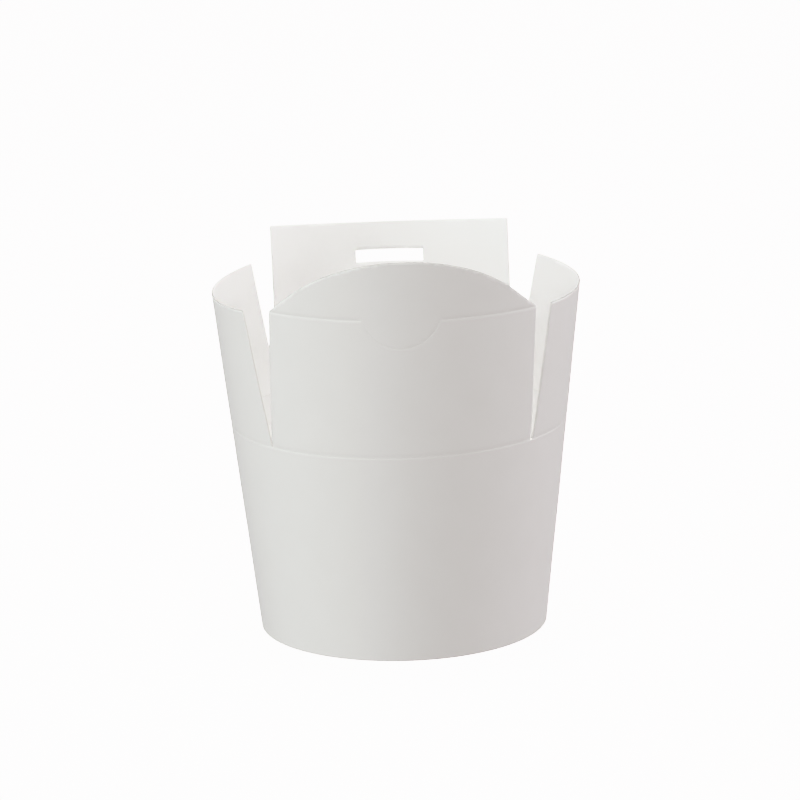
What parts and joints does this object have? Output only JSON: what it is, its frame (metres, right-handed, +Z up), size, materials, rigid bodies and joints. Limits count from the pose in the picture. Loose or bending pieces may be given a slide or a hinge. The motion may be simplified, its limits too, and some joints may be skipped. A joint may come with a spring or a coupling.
{
  "type": "noodle takeaway box",
  "caption": "Open, empty round-based paperboard noodle box with creased lid flaps, a half-moon tongue on the arched front flap and a matching slot in the back flap.",
  "frame": {"origin": "centre of the ring that the box stands on, at the level of the surface below it", "axes": "+Z up along the box's axis, -Y towards the front flap with the arched end, +X to the right of someone who looks at the front"},
  "size_m": [0.1146, 0.1183, 0.1284],
  "materials": {
    "outer_board": "matte white coated paperboard",
    "flap_board": "matte white coated paperboard, slightly glossier inside",
    "base_board": "white coated paperboard, faintly glossy"
  },
  "bodies": {
    "root": {"wall": "outer_board", "base_disc": "base_board"},
    "front": {"front_flap": "flap_board"},
    "back": {"back_flap": "flap_board"},
    "left": {"left_flap": "flap_board"},
    "right": {"right_flap": "flap_board"}
  },
  "joints": [
    {"name": "left_crease", "type": "hinge", "parent": "root", "child": "left", "pos_m": [-0.03831, 0.00105, 0.0664], "axis": [0.0275, 0.9996, 0], "range_deg": [0, 68]},
    {"name": "right_crease", "type": "hinge", "parent": "root", "child": "right", "pos_m": [0.03831, 0.00105, 0.0664], "axis": [0.0275, -0.9996, 0], "range_deg": [0, 68]},
    {"name": "front_crease", "type": "hinge", "parent": "root", "child": "front", "pos_m": [0, -0.0342, 0.0664], "axis": [-1, 0, 0], "range_deg": [0, 33]},
    {"name": "back_crease", "type": "hinge", "parent": "root", "child": "back", "pos_m": [0, 0.03631, 0.0664], "axis": [1, 0, 0], "range_deg": [0, 33]}
  ]
}
